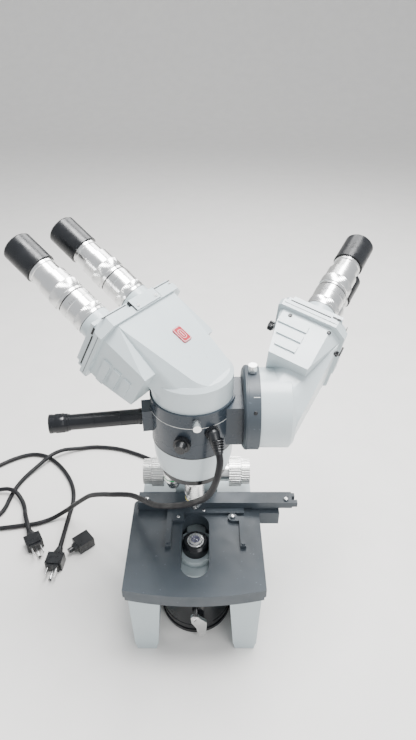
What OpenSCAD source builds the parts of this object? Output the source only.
// Dual viewing compound microscope: one upright head on top, one side head on a
// horizontal coupling, a pointer lamp tube, a mechanical stage and two mains cords.
// The optical axis is the Z axis and the sole of the base is z = 0. +Y is the arm side.

/* [Base and stage] */
// Width of the stage plate
stage_w = 164; // [150:1:176]
// Height of the stage's top face above the table
stage_z = 131; // [124:1:134]
// Thickness of the stage plate
stage_t = 18; // [14:1:20]
// Half width of the base across the outer faces of its legs
base_half_w = 78; // [72:1:84]
// Radius of the lamp drum between the legs
drum_r = 46; // [42:1:46]

/* [Body] */
// Radius of the body band
body_r = 43; // [42:0.5:44]
// Height of the body band's lower edge
band_z = 304; // [302:1:306]
// Height of the top of the body, where the upright head sits
head_z = 359; // [356:1:362]
// Distance of the side head's seat from the optical axis
side_x = 72; // [70:1:78]
// Height of the side head's turning axis
side_z = 337; // [335:1:339]

/* [Heads] */
// Direction that the upright head faces, anticlockwise from +X
main_azimuth = 146; // [135:1:165]
// Lean of the side head, backwards from upright
side_lean = 64; // [40:1:80]
// Rise of the eye tubes above the head's seat plane
tube_rise = 30; // [28:1:32]
// Distance between the two eye tubes of a head
eye_spacing = 60; // [58:1:64]

/* [Eyepieces] */
// Radius of an eyepiece cap
cap_r = 16.5; // [15:0.5:17.5]
// Length of an eyepiece cap
cap_len = 36; // [30:1:42]
// Length of the bright sleeve between collar and cap
sleeve_len = 75; // [70:1:80]
// Radius of the eyepiece barrel, for the common 23.2 mm tube
barrel_r = 11.6; // [11.5:0.1:11.7]

/* [Hidden] */

$fn = 64;
// Small overrun that makes a cutter pass a face cleanly
over = 1;
// Clearance between sliding flat faces
slide_gap = 0.1;
// Clearance under the heads' round seats
seat_gap = 0.05;
light_grey = "#c3ced2";
dark_grey = "#3b464e";
black = "#1d2025";
silver = "#dcdddd";
glass = "#a9c3cf";

stage_bottom = stage_z - stage_t;
stage_front = -71;
stage_back = 62;
slot_r = 17;
slot_front = -38;
slot_back = 20;
condenser_r = 16.2;
arm_front = 73;
arm_half_w = 28;
knob_y = 96;
knob_z = 151;
turret_y = 26;
turret_z = 240;
lever_z = 44;
pointer_z = 331;
pointer_azimuth = 188;
// Radius of the light path to the side head
port_r = 15;
gland_azimuth = -64;
gland_tilt = 50;
gland_z = 337;
filter_azimuth = -102;
filter_z = 326;
clamp_azimuth = -84;
clamp_z = 352;
// Middle of the two sleeves' lower ends, from the head's seat
head_out = 97;
head_up = 63;
lid_bottom = -32;
lid_step = -24;
lid_top = -18;
collar_bottom = -14;
// How far the side head's ring reaches past its seat
side_skirt = 6;
spigot_len = 8;
coupling_x = 50;
box_low = -86;
box_half_w = 55;
collar_r = 17.2;
ring_r = 41;
ring_h = 28;
bore_r = 30;
head_half_w = 57;
head_half_q = 34;
cord_r = 3.5;
cord_sides = 8;

// Points of the pointer lamp's cord, from its gland to its plug
pointer_route = [
  [26, -53, 323], [27, -57, 315], [26, -59, 305], [24, -60, 294], [21, -58, 281], [17, -53, 267],
  [12, -47, 254], [5, -39, 241], [-4, -31, 228], [-16, -21, 214], [-31, -6, 196], [-50, 14, 176],
  [-68, 38, 159], [-84, 55, 148], [-99, 65, 139], [-116, 76, 127], [-135, 92, 110],
  [-156, 110, 88], [-176, 125, 61], [-195, 137, 35], [-213, 143, 15], [-233, 138, 5],
  [-253, 130, 4], [-274, 126, 4], [-298, 122, 4], [-325, 119, 4], [-350, 124, 4],
  [-371, 138, 4], [-384, 160, 4], [-388, 186, 4], [-384, 213, 4], [-371, 240, 4],
  [-350, 262, 4], [-326, 279, 4], [-301, 287, 4], [-275, 281, 4], [-248, 259, 4],
  [-226, 231, 4], [-212, 203, 4], [-206, 176, 4], [-206, 150, 4], [-206, 123, 5],
  [-205, 100, 9], [-205, 80, 9]
];
// Points of the base lamp's cord, from the rear gland to its plug
mains_route = [
  [0, 158, 24], [-3, 170, 22], [-10, 188, 13], [-22, 208, 5], [-40, 232, 4], [-62, 255, 4],
  [-88, 274, 4], [-116, 289, 4], [-150, 302, 4], [-190, 307, 4], [-221, 302, 5], [-246, 290, 12],
  [-265, 275, 13], [-285, 253, 7], [-301, 228, 4], [-309, 203, 4], [-312, 180, 4],
  [-313, 164, 4], [-317, 150, 4], [-327, 140, 4], [-342, 136, 4], [-356, 140, 4],
  [-366, 150, 4], [-370, 165, 4], [-366, 180, 4], [-355, 190, 5], [-337, 196, 8],
  [-317, 195, 12], [-301, 187, 12], [-288, 173, 6], [-280, 157, 5], [-274, 142, 10],
  [-267, 127, 12], [-260, 112, 10]
];

// Stands its children on the body band's wall, facing out along +Z at the given height
module on_band(azimuth, height, radius) {
  rotate([0, 0, azimuth]) translate([radius, 0, height]) rotate([0, 90, 0]) children();
}

// Places children given in the upright head's own frame: +X is where it faces, +Z its seat axis
module at_main() {
  translate([0, 0, head_z]) rotate([0, 0, main_azimuth]) children();
}

// Places children given in the side head's own frame
module at_side() {
  translate([side_x, 0, side_z]) rotate([180 - side_lean, 0, 0]) rotate([0, 90, 0]) children();
}

// Frame of the eye tubes: +Z runs out along them, +Y across the pair, +X to the underside
module in_tubes(across, along) {
  translate([head_out, across, head_up]) rotate([0, 90 - tube_rise, 0])
    translate([0, 0, along]) children();
}

// Plate with round corners, standing on z = 0
module round_plate(half_x, half_y, corner, height) {
  translate([-half_x + corner, -half_y, 0])
    cube([2 * (half_x - corner), 2 * half_y, height]);
  translate([-half_x, -half_y + corner, 0])
    cube([2 * half_x, 2 * (half_y - corner), height]);
  for (sx = [-1, 1], sy = [-1, 1])
    translate([sx * (half_x - corner), sy * (half_y - corner), 0])
      cylinder(r = corner, h = height);
}

// Knob with a ring of flutes round its rim, standing on z = 0
module fluted_knob(radius, height, flutes) {
  flute_r = PI * radius / flutes * 0.5;
  difference() {
    cylinder(r = radius, h = height);
    for (i = [0 : flutes - 1])
      rotate([0, 0, i * 360 / flutes]) translate([radius + flute_r * 0.4, 0, -over])
        cylinder(r = flute_r, h = height + 2 * over, $fn = 24);
  }
}

// One side leg of the base: a tapered block with a small foot step
module leg(side) {
  top_in = 40;
  foot_in = 48;
  foot_out = base_half_w - 3;
  foot_h = 11;
  step = 1.5;
  difference() {
    translate([0, stage_back, 0]) rotate([90, 0, 0])
      linear_extrude(height = stage_back - stage_front - 5)
        polygon([
          [side * top_in, stage_bottom], [side * base_half_w, stage_bottom],
          [side * (foot_out + 1), foot_h], [side * foot_out, foot_h - step],
          [side * (foot_out - step), 0], [side * (foot_in + step), 0],
          [side * foot_in, foot_h - step], [side * (foot_in - 1), foot_h]
        ]);
    translate([0, 0, -over]) cylinder(r = drum_r + 1.5, h = stage_bottom + 2 * over);
  }
}

module base_casting() {
  rear_y = 140;
  color(light_grey) {
    leg(-1);
    leg(1);
    difference() {
      translate([-base_half_w + 3, 0, 0]) rotate([90, 0, 90])
        linear_extrude(height = 2 * (base_half_w - 3))
          polygon([
            [stage_back - 14, 0], [rear_y, 0], [rear_y, 60], [rear_y - 8, stage_bottom],
            [stage_back - 14, stage_bottom]
          ]);
      translate([0, rear_y - 6, 24]) rotate([-90, 0, 0]) cylinder(r = 6, h = 10);
      translate([0, 0, -over]) cylinder(r = drum_r + 1.5, h = stage_bottom + 2 * over);
    }
  }
}

module lamp_drum() {
  top = 90;
  wall = 2.5;
  color(black) difference() {
    union() {
      cylinder(r = drum_r - 1, h = top);
      translate([0, 0, top - 10]) cylinder(r = drum_r, h = 6);
      translate([0, 0, 3]) cylinder(r = drum_r, h = 4);
    }
    translate([0, 0, wall]) cylinder(r = drum_r - 1 - wall, h = top - 2 * wall);
    translate([0, 0, top - 2 * wall]) cylinder(r = 20, h = 3 * wall);
    translate([0, -drum_r + 8, lever_z]) rotate([90, 0, 0]) cylinder(r = 3.05, h = 20);
  }
}

module lamp_bulb() {
  color(glass) {
    translate([0, 0, 2.5]) cylinder(r = 12, h = 22);
    translate([0, 0, 24.5]) cylinder(r = 5, h = 14);
    translate([0, 0, 46]) sphere(r = 10);
  }
}

module field_lens() {
  color(glass) intersection() {
    translate([0, 0, 83]) cylinder(r = 19.9, h = 12);
    translate([0, 0, 45]) sphere(r = 46);
  }
}

module substage_ring() {
  top = stage_bottom - 0.5;
  color(light_grey) difference() {
    union() {
      translate([0, 0, 96]) cylinder(r = 22, h = top - 96);
      translate([0, 0, 98]) cylinder(r = 34, h = 5);
      translate([-12, 20, 98]) cube([24, 28, 5]);
    }
    translate([0, 0, 96 - over]) cylinder(r = condenser_r + 0.05, h = 20);
  }
}

module condenser() {
  low = 103;
  top = stage_z - 3;
  color(black) difference() {
    union() {
      translate([0, 0, low]) cylinder(r = condenser_r, h = top - 3 - low);
      translate([0, 0, top - 3]) cylinder(r1 = condenser_r, r2 = condenser_r - 2.5, h = 3);
    }
    translate([0, 0, low - over]) cylinder(r = 9.3, h = top - low + 2 * over);
  }
}

module condenser_ring() {
  color(silver) translate([0, 0, stage_z - 8]) difference() {
    union() {
      cylinder(r = 9.3, h = 5);
      translate([0, 0, 5]) cylinder(r1 = 9.3, r2 = 8.3, h = 2);
    }
    translate([0, 0, -over]) cylinder(r = 5.5, h = 9);
  }
}

module condenser_lens() {
  color(glass) translate([0, 0, stage_z - 8]) intersection() {
    cylinder(r = 5.5, h = 7);
    translate([0, 0, -3]) sphere(r = 9);
  }
}

// Lever on the drum's front wall: shaft, hub and a cranked blade
module aperture_lever() {
  front = -drum_r - 1;
  color(silver) translate([0, 0, lever_z]) {
    translate([0, front + 6, 0]) rotate([90, 0, 0]) cylinder(r = 3, h = 10);
    translate([0, front - 3, 0]) rotate([90, 0, 0]) cylinder(r = 5.5, h = 4);
    translate([0, front - 3, 0]) rotate([90, 0, 0]) linear_extrude(height = 4)
      polygon([[-6, 3], [-3, 6], [2, 5], [14, -7], [13, -35], [9, -38], [3, -37], [1, -20], [-5, -8]]);
  }
}

// Stage plate: straight sides, a bowed front edge and a long round-ended slot
module stage_plate() {
  skirt = 5;
  bow_r = 390;
  half_w = stage_w / 2;
  mid_y = (stage_front + stage_back) / 2;
  half_d = (stage_back - stage_front) / 2;
  color(dark_grey) difference() {
    intersection() {
      translate([0, mid_y - 9, stage_bottom]) {
        translate([0, 0, skirt]) round_plate(half_w, half_d + 9, 7, stage_t - skirt);
        round_plate(half_w - 2, half_d + 7, 6, skirt);
      }
      translate([0, stage_front - 9 + bow_r, stage_bottom - over])
        cylinder(r = bow_r, h = stage_t + 2 * over, $fn = 360);
    }
    for (y = [slot_front, slot_back])
      translate([0, y, stage_bottom - over]) cylinder(r = slot_r, h = stage_t + 2 * over);
    translate([-slot_r, slot_front, stage_bottom - over])
      cube([2 * slot_r, slot_back - slot_front, stage_t + 2 * over]);
  }
}

// Carriage that runs front to back along the stage's right edge
module y_carriage() {
  wall = stage_w / 2 + 0.3;
  color(dark_grey) {
    translate([wall, 40, stage_z - 20]) cube([26, 26, 20.2]);
    translate([wall - 9, 46, stage_z + 0.2]) cube([30, 18, 3.8]);
  }
}

// Bar that runs across the stage and carries the slide holder
module x_bar() {
  bar_y = 45;
  color(dark_grey) {
    translate([-75, bar_y, stage_z + 4.1]) cube([200, 19, 9.9]);
    translate([-75, bar_y, stage_z + 0.4]) cube([105, 14, 3.8]);
    translate([125, bar_y + 2, stage_z + 4.1]) cube([7, 6, 7]);
    translate([125, bar_y + 11, stage_z + 4.1]) cube([4, 6, 9.9]);
    translate([-64, bar_y + 6, stage_z + 14]) cylinder(r = 3.5, h = 1.4);
    translate([117, bar_y + 6, stage_z + 14]) cylinder(r = 3.5, h = 1.4);
  }
}

// L-shaped holder with the fixed finger
module slide_holder() {
  h = 4.2;
  color(dark_grey) translate([0, 0, stage_z + 0.4]) {
    translate([-37, 37, 0]) cube([99, 8, h]);
    translate([-37, -15, 0]) cube([7, 52, h]);
    translate([-30, 24, 0]) cube([15, 13, h]);
    translate([-33.5, -9, h]) cylinder(r = 2.5, h = 1.5);
  }
}

// Sprung finger that pushes the slide against the fixed one
module spring_finger() {
  h = 4.2;
  color(dark_grey) translate([0, 0, stage_z + 0.4]) {
    translate([47, 30, 0]) cylinder(r = 6, h = h);
    translate([47, 24, 0]) cube([15, 7, h]);
    translate([55, -15, 0]) cube([7, 40, h]);
    translate([58.5, -11, h]) cylinder(r = 2.5, h = 1.5);
    translate([47, 30, h]) cylinder(r = 3.4, h = 1.8);
  }
}

module arm() {
  rear = 138;
  color(light_grey) difference() {
    translate([-arm_half_w, 0, 0]) rotate([90, 0, 90])
      linear_extrude(height = 2 * arm_half_w)
        polygon([
          [arm_front, stage_bottom], [arm_front, 266], [30, 276], [30, 346], [92, 346],
          [120, 330], [133, 300], [rear, 250], [rear, stage_bottom]
        ]);
    cylinder(r = body_r + 0.02, h = 400);
    translate([-60, knob_y, knob_z]) rotate([0, 90, 0]) cylinder(r = 6.05, h = 120);
  }
}

// Coarse knobs: a stepped hub and a fluted wheel at each end of one tube
module coarse_knobs() {
  wheel_x = 44;
  wheel_w = 16;
  bore = 3.05;
  color(silver) {
    for (s = [-1, 1])
      translate([s * (arm_half_w + 0.5), knob_y, knob_z]) rotate([0, s * 90, 0])
        difference() {
          union() {
            cylinder(r = 13, h = wheel_x - arm_half_w);
            translate([0, 0, wheel_x - arm_half_w - 0.5]) fluted_knob(20, wheel_w, 36);
          }
          translate([0, 0, -over]) cylinder(r = bore, h = 40);
        }
    translate([-arm_half_w - 0.5, knob_y, knob_z]) rotate([0, 90, 0]) difference() {
      cylinder(r = 6, h = 2 * arm_half_w + 1);
      translate([0, 0, -over]) cylinder(r = bore, h = 2 * arm_half_w + 4);
    }
  }
}

module fine_knobs() {
  wheel_x = 60.6;
  shaft_half = wheel_x + 2;
  color(silver) {
    translate([-shaft_half, knob_y, knob_z]) rotate([0, 90, 0])
      cylinder(r = 3, h = 2 * shaft_half);
    for (s = [-1, 1])
      translate([s * wheel_x, knob_y, knob_z]) rotate([0, s * 90, 0])
        fluted_knob(17, 11, 32);
  }
}

// Bracket that rides up and down the arm and holds the turret
module nosepiece_carriage() {
  color(dark_grey) difference() {
    union() {
      translate([-22, arm_front - 7, 196]) cube([44, 6.7, 62]);
      translate([-24, 14, 252]) cube([48, 58, 6]);
      translate([0, turret_y, 251]) cylinder(r = 16, h = 7);
    }
    translate([0, 0, 240]) cylinder(r = 11, h = 30);
    translate([0, turret_y, 240]) cylinder(r = 4.05, h = 16);
  }
}

// Turret with four ports round its centre pin; the port at +X is free
module turret() {
  color(dark_grey) difference() {
    union() {
      translate([0, turret_y, turret_z]) fluted_knob(38, 10.8, 60);
      translate([0, turret_y, turret_z + 10]) cylinder(r = 4, h = 5);
    }
    for (a = [0, 90, 180, 270])
      translate([0, turret_y, turret_z - over]) rotate([0, 0, a]) translate([turret_y, 0, 0])
        cylinder(r = 10.16, h = 14);
  }
}

// Objective: threaded collar, barrel and tapered nose, hanging from z = 0
module objective(length, nose_r) {
  collar_h = 8;
  taper_h = 12;
  difference() {
    union() {
      cylinder(r = 10.1, h = 6);
      translate([0, 0, -collar_h]) cylinder(r = 12, h = collar_h);
      translate([0, 0, -length + taper_h]) cylinder(r = 10.8, h = length - taper_h - collar_h);
      translate([0, 0, -length]) cylinder(r1 = nose_r, r2 = 10.8, h = taper_h);
    }
    translate([0, 0, -length - over]) cylinder(r = nose_r * 0.55, h = length + 10);
  }
}

module on_turret(angle) {
  translate([0, turret_y, turret_z]) rotate([0, 0, angle]) translate([turret_y, 0, 0])
    children();
}

module objective_low() { color(silver) on_turret(270) objective(49, 6); }
module objective_mid() { color(silver) on_turret(180) objective(42, 6.5); }
module objective_high() { color(silver) on_turret(90) objective(45, 5); }

module nose_ring() {
  color(black) difference() {
    translate([0, 0, 261]) cylinder(r = 36, h = 7);
    translate([0, 0, 260]) cylinder(r = 26, h = 9);
  }
}

module body_bowl() {
  wall = 4;
  color(light_grey) difference() {
    rotate_extrude() polygon([
      [26, 268], [37, 268], [39.5, 272], [41.5, 284], [body_r - 0.6, band_z],
      [body_r - 0.6 - wall, band_z], [36, 274], [26, 272]
    ]);
    translate([-arm_half_w - 0.02, 30, 260]) cube([2 * arm_half_w + 0.04, 30, 40]);
  }
}

module body_band() {
  wall = 5;
  rim_h = 14;
  groove_z = 343;
  groove_r = body_r - 0.6;
  color(dark_grey) rotate([0, 0, 45]) difference() {
    union() {
      translate([0, 0, band_z]) cylinder(r = body_r, h = groove_z - band_z);
      translate([0, 0, groove_z]) cylinder(r = groove_r, h = 1);
      translate([0, 0, groove_z + 1]) cylinder(r = body_r, h = head_z - groove_z - 1);
    }
    translate([0, 0, band_z - over])
      cylinder(r = body_r - wall, h = head_z - rim_h - band_z + over);
    translate([0, 0, band_z]) cylinder(r = bore_r, h = 100);
    rotate([0, 0, -45]) {
      translate([30, 0, side_z]) rotate([0, 90, 0]) cylinder(r = port_r, h = 20);
      on_band(gland_azimuth, gland_z, body_r - 8) cylinder(r = 5, h = 12);
      on_band(filter_azimuth, filter_z, body_r - 8) cylinder(r = 3.05, h = 12);
      on_band(pointer_azimuth, pointer_z, body_r - 8) cylinder(r = 5, h = 12);
      on_band(clamp_azimuth, clamp_z, body_r - 16) cylinder(r = 2.05, h = 20);
    }
  }
}

module beam_splitter() {
  color(glass) translate([-16, -16, side_z - 16]) cube([32, 32, 32]);
  color(glass) translate([-20, -20, band_z - 6]) cube([40, 40, 9]);
}

// Round knob on the band's front that swings the colour filters
module filter_knob() {
  color(black) on_band(filter_azimuth, filter_z, body_r) {
    translate([0, 0, -8]) cylinder(r = 3, h = 10);
    translate([0, 0, 0.6]) fluted_knob(8.5, 5, 28);
    translate([0, 0, 5.6]) cylinder(r1 = 6.5, r2 = 5, h = 6);
  }
}

// Bright thumb screw that locks the upright head
module head_clamp() {
  color(silver) on_band(clamp_azimuth, clamp_z, body_r) {
    translate([0, 0, -12.5]) cylinder(r = 2, h = 14);
    translate([0, 0, 0.6]) fluted_knob(4, 10, 18);
  }
}

// Round gland with a tapered strain relief that points the cord down
module lamp_gland() {
  relief = 20;
  color(black) difference() {
    union() {
      on_band(gland_azimuth, gland_z, body_r - 7) cylinder(r = 4.95, h = 9);
      on_band(gland_azimuth, gland_z, body_r + 0.3) cylinder(r = 7.4, h = 3);
      on_band(gland_azimuth, gland_z, body_r + 4) sphere(r = 6.2);
      on_band(gland_azimuth, gland_z, body_r + 4) rotate([0, gland_tilt, 0])
        cylinder(r1 = 6.2, r2 = 4.4, h = relief);
    }
    on_band(gland_azimuth, gland_z, body_r + 4) rotate([0, gland_tilt, 0])
      translate([0, 0, relief - 1]) cylinder(r = cord_r, h = 3);
  }
}

// Black tube of the pointer lamp, with its larger end cap
module pointer_tube() {
  color(black) on_band(pointer_azimuth, pointer_z, body_r) {
    translate([0, 0, -6]) cylinder(r = 4.95, h = 8);
    translate([0, 0, 9.2]) cylinder(r = 8, h = 74);
    translate([0, 0, 83]) cylinder(r = 9.4, h = 18);
    translate([0, 0, 2]) cylinder(r = 4.95, h = 8);
  }
}

// Block that clamps the pointer tube to the band, with its two screws
module pointer_block() {
  color(black) {
    difference() {
      on_band(pointer_azimuth, pointer_z, body_r - 3) translate([-13, -10, 0]) cube([25, 20, 12]);
      cylinder(r = body_r + 0.05, h = 400);
      on_band(pointer_azimuth, pointer_z, body_r - 4) cylinder(r = 5, h = 20);
    }
    for (dx = [2.5, 7])
      on_band(pointer_azimuth, pointer_z, body_r + dx) translate([11.5, 0, 0])
        rotate([0, 90, 0]) cylinder(r = 2, h = 5);
  }
}

// Square neck from the band to the side coupling
module side_arm() {
  half = 27;
  color(dark_grey) difference() {
    translate([30, -half, side_z - half]) cube([coupling_x - 30, 2 * half, 2 * half - 8]);
    cylinder(r = body_r, h = 400);
    translate([29, 0, side_z]) rotate([0, 90, 0]) cylinder(r = port_r, h = 30);
  }
}

// Round seat of the side head, bored for its spigot
module coupling_ring() {
  seat_x = side_x - side_skirt;
  color(dark_grey) difference() {
    translate([coupling_x, 0, side_z]) rotate([0, 90, 0]) {
      cylinder(r1 = body_r - 3, r2 = body_r, h = 2);
      translate([0, 0, 2]) cylinder(r = body_r, h = seat_x - coupling_x - 2);
    }
    translate([coupling_x - over, 0, side_z]) rotate([0, 90, 0]) cylinder(r = port_r, h = 30);
    translate([coupling_x + 4, 0, side_z]) rotate([0, 90, 0]) cylinder(r = bore_r, h = 30);
    translate([coupling_x + 9, 0, side_z + 20]) cylinder(r = 2.55, h = 30);
  }
}

module coupling_clamp() {
  color(silver) translate([coupling_x + 9, 0, side_z + body_r]) {
    translate([0, 0, -12.5]) cylinder(r = 2.5, h = 14);
    translate([0, 0, 0.6]) fluted_knob(4.4, 8, 18);
  }
}

// Cross-section of a head across its tubes: wide corner cuts on the top side
module head_section(half_q, half_p, top_cut, low_cut) {
  polygon([
    [-half_q, -half_p + top_cut], [-half_q + top_cut, -half_p],
    [half_q - low_cut, -half_p], [half_q, -half_p + low_cut],
    [half_q, half_p - low_cut], [half_q - low_cut, half_p],
    [-half_q + top_cut, half_p], [-half_q, half_p - top_cut]
  ]);
}

// Box under the lid: its top and its underside both close in towards the seat
module head_box() {
  low_top_q = -20;
  low_bottom_q = 21;
  intersection() {
    in_tubes(0, 0) rotate([90, 0, 0])
      linear_extrude(height = 2 * box_half_w + 2, center = true)
        polygon([
          [low_top_q, box_low], [-head_half_q, lid_bottom],
          [head_half_q, lid_bottom], [low_bottom_q, box_low]
        ]);
    in_tubes(0, box_low - over) linear_extrude(height = lid_bottom - box_low + over)
      head_section(head_half_q, box_half_w, 13, 4);
  }
}

// Neck that blends the box's top face into the round seat
module head_neck() {
  hull() {
    in_tubes(0, lid_bottom - 5) translate([-head_half_q, -42, 0]) cube([30, 84, 4]);
    in_tubes(0, -108) translate([-head_half_q, 0, 0]) rotate([0, 90, 0])
      cylinder(r = 28, h = 4, $fn = 48);
    translate([0, 0, 8]) cylinder(r = ring_r - 1, h = 13, $fn = 72);
  }
}

// Hollow of a head, open at the lid and at the seat
module head_hollow(skirt) {
  half_p = 46;
  hull() {
    in_tubes(0, lid_bottom - 4) translate([-28, -half_p, 0]) cube([48, 2 * half_p, 1]);
    translate([0, 0, 6]) cylinder(r = 26, h = 9, $fn = 48);
  }
  in_tubes(0, lid_bottom - 4.5) translate([-28, -half_p, 0]) cube([48, 2 * half_p, 10]);
  translate([0, 0, -skirt - spigot_len - over]) cylinder(r = 26, h = 40);
}

// Raised ribs on one end of a head; side is +1 or -1
module head_ribs(side) {
  rib_w = 8.5;
  pitch = 13;
  for (i = [0 : 2])
    in_tubes(side * box_half_w, lid_bottom - 18 - i * pitch)
      translate([-2, -1.8, 0]) cube([31 - i * 4.5, 3.6, rib_w]);
}

// Housing of a head: a hollow casting on a round seat with a spigot
module head_housing(skirt) {
  color(light_grey) {
    difference() {
      union() {
        head_box();
        head_neck();
        translate([0, 0, seat_gap - skirt])
          cylinder(r = ring_r, h = ring_h - 4 + skirt - seat_gap);
        translate([0, 0, ring_h - 4]) cylinder(r1 = ring_r, r2 = ring_r - 4, h = 4);
        translate([0, 0, -skirt - spigot_len])
          cylinder(r = bore_r - 0.05, h = spigot_len + skirt + 4);
      }
      head_hollow(skirt);
    }
    for (side = [-1, 1])
      head_ribs(side);
  }
}

// Lid of a head: flange and raised bed, with a window under each eye tube
module head_lid() {
  color(light_grey) difference() {
    union() {
      in_tubes(0, lid_bottom) linear_extrude(height = lid_step - lid_bottom)
        head_section(head_half_q + 3, head_half_w + 3, 12, 3);
      in_tubes(0, lid_step) linear_extrude(height = lid_top - lid_step)
        head_section(head_half_q, head_half_w, 12, 3);
      in_tubes(-3, lid_bottom + 1) translate([-head_half_q - 4.5, -18, 0])
        cube([10, 36, lid_top - lid_bottom - 1]);
    }
    for (s = [-1, 1])
      in_tubes(s * eye_spacing / 2, lid_bottom - over) translate([-12, -16, 0])
        cube([24, 32, 20]);
  }
}

// Sliding plate and collar of one eye tube; side is +1 for the near tube and -1 for the far one
module eye_slide(side) {
  color(light_grey) difference() {
    union() {
      in_tubes(side * eye_spacing / 2, lid_top + slide_gap)
        translate([-27, -26, 0]) cube([54, 52, collar_bottom - lid_top - slide_gap]);
      in_tubes(side * eye_spacing / 2, collar_bottom) cylinder(r = collar_r + 1.5, h = 3);
      in_tubes(side * eye_spacing / 2, collar_bottom) cylinder(r = collar_r, h = -collar_bottom);
    }
    in_tubes(side * eye_spacing / 2, lid_top - over) cylinder(r = 14.1, h = 30);
  }
}

// Bright sleeve of one eye tube
module eye_sleeve(side) {
  spigot = 12;
  color(silver) in_tubes(side * eye_spacing / 2, 0) difference() {
    union() {
      translate([0, 0, -spigot]) cylinder(r = 14.05, h = spigot);
      cylinder(r = 17, h = 28);
      translate([0, 0, 28]) cylinder(r = 15.8, h = 2);
      translate([0, 0, 30]) cylinder(r = 16.5, h = 28);
      translate([0, 0, 58]) cylinder(r = 14.4, h = sleeve_len - 58);
    }
    translate([0, 0, -spigot - over]) cylinder(r = barrel_r + 0.05, h = sleeve_len + spigot + 2 * over);
  }
}

// Eyepiece: barrel and black cap with a recessed eye lens seat
module eyepiece(side) {
  color(black) in_tubes(side * eye_spacing / 2, sleeve_len) difference() {
    union() {
      translate([0, 0, -38]) cylinder(r = barrel_r, h = 39);
      translate([0, 0, 0.1]) cylinder(r = cap_r, h = cap_len - 1.6);
      translate([0, 0, cap_len - 1.5]) cylinder(r1 = cap_r, r2 = cap_r - 1.2, h = 1.5);
    }
    translate([0, 0, -39]) cylinder(r = 9, h = 34);
    translate([0, 0, cap_len - 6]) cylinder(r1 = 8.5, r2 = 12.5, h = 6.1);
  }
}

// Prism block that sends the light to both tubes
module head_prism() {
  color(glass) in_tubes(0, -60) translate([-12, -33, 0]) cube([24, 66, 22]);
}

module badge() {
  top_q = -head_half_q;
  color("#b23a48") at_main() in_tubes(-6, -74) translate([top_q - 1.2, 0, 0])
    rotate([0, 90, 0]) round_plate(9, 6, 2.5, 1.2);
}

module lid_screws() {
  color(silver) at_main()
    for (p = [-16, 10])
      in_tubes(p, lid_bottom + 5) translate([-head_half_q - 4.5, 0, 0]) rotate([0, -90, 0])
        cylinder(r = 1.8, h = 0.8);
}

module rear_gland() {
  color(black) translate([0, 140, 24]) rotate([-90, 0, 0]) difference() {
    union() {
      translate([0, 0, -6]) cylinder(r = 5.95, h = 6);
      cylinder(r = 7.5, h = 3);
      translate([0, 0, 3]) cylinder(r1 = 6.5, r2 = 4.5, h = 17);
    }
    translate([0, 0, 18]) cylinder(r = cord_r, h = 4);
  }
}

// Tube swept along a list of points
function unit(v) = v / norm(v);
function heading(p, i) =
  unit(p[min(i + 1, len(p) - 1)] - p[max(i - 1, 0)]);
function side_of(d) =
  unit(cross(d, abs(d[2]) > 0.9 ? [1, 0, 0] : [0, 0, 1]));
function ring(p, i, r) =
  let (d = heading(p, i), u = side_of(d), w = cross(u, d))
  [for (k = [0 : cord_sides - 1])
    let (a = 360 * k / cord_sides) p[i] + r * (cos(a) * u + sin(a) * w)];
module swept_cord(p, r) {
  n = len(p);
  points = [for (i = [0 : n - 1]) each ring(p, i, r)];
  walls = [for (i = [0 : n - 2], k = [0 : cord_sides - 1])
    let (a = i * cord_sides + k, b = i * cord_sides + (k + 1) % cord_sides)
      each [[a, b, b + cord_sides], [a, b + cord_sides, a + cord_sides]]];
  start = [for (k = [cord_sides - 1 : -1 : 0]) k];
  finish = [for (k = [0 : cord_sides - 1]) (n - 1) * cord_sides + k];
  polyhedron(points = points, faces = concat([start], walls, [finish]));
}

module pointer_cord() { color(black) swept_cord(pointer_route, cord_r); }
module mains_cord() { color(black) swept_cord(mains_route, cord_r); }

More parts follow.
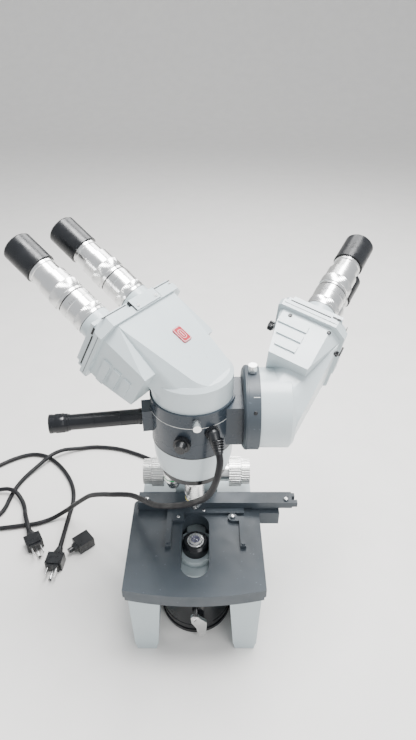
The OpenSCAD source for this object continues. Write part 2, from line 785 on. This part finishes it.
// Three-pin plug lying on the table, its cord entry at the origin and pins along -Y
module plug_body() {
  rotate([90, 0, 0]) cylinder(r = 4.6, h = 6);
  translate([0, -5, 0]) rotate([90, 0, 0]) cylinder(r1 = 6, r2 = 8.4, h = 8);
  translate([-12, -32, -8.4]) cube([24, 19.2, 16.8]);
  translate([-9, -35, -7]) cube([18, 3.2, 14]);
  for (x = [-6.5, 6.5])
    translate([x - 0.8, -50, -1.5]) cube([1.6, 16, 6]);
  translate([0, -34, -4.5]) rotate([90, 0, 0]) cylinder(r = 2.3, h = 17);
}

module pointer_plug() {
  color(black) translate([-205, 79.5, 9]) rotate([0, 0, -4]) plug_body();
}
module mains_plug() {
  color(black) translate([-258.6, 109.4, 10]) rotate([0, 0, 32]) plug_body();
}

// Short tap on the pointer cord's plug, with its own socket
module tap_socket() {
  color(black) translate([-191, 74, 9]) rotate([0, 0, 132]) {
    rotate([90, 0, 0]) cylinder(r = 4, h = 9);
    translate([0, -8, 0]) rotate([90, 0, 0]) cylinder(r1 = 6, r2 = 8, h = 6);
    translate([-11, -38, -8]) cube([22, 25, 16]);
  }
}

base_casting();
lamp_drum();
lamp_bulb();
field_lens();
substage_ring();
condenser();
condenser_ring();
condenser_lens();
aperture_lever();
stage_plate();
y_carriage();
x_bar();
slide_holder();
spring_finger();
arm();
coarse_knobs();
fine_knobs();
nosepiece_carriage();
turret();
objective_low();
objective_mid();
objective_high();
body_bowl();
body_band();
nose_ring();
beam_splitter();
filter_knob();
head_clamp();
lamp_gland();
pointer_tube();
pointer_block();
side_arm();
coupling_ring();
coupling_clamp();
at_main() head_housing(0);  // main_housing
at_main() head_lid();  // main_lid
at_main() head_prism();  // main_prism
at_main() eye_slide(1);  // main_near_slide
at_main() eye_slide(-1);  // main_far_slide
at_main() eye_sleeve(1);  // main_near_sleeve
at_main() eye_sleeve(-1);  // main_far_sleeve
at_main() eyepiece(1);  // main_near_eyepiece
at_main() eyepiece(-1);  // main_far_eyepiece
at_side() head_housing(side_skirt);  // side_housing
at_side() head_lid();  // side_lid
at_side() head_prism();  // side_prism
at_side() eye_slide(1);  // side_near_slide
at_side() eye_slide(-1);  // side_far_slide
at_side() eye_sleeve(1);  // side_near_sleeve
at_side() eye_sleeve(-1);  // side_far_sleeve
at_side() eyepiece(1);  // side_near_eyepiece
at_side() eyepiece(-1);  // side_far_eyepiece
badge();
lid_screws();
rear_gland();
pointer_cord();
mains_cord();
pointer_plug();
mains_plug();
tap_socket();
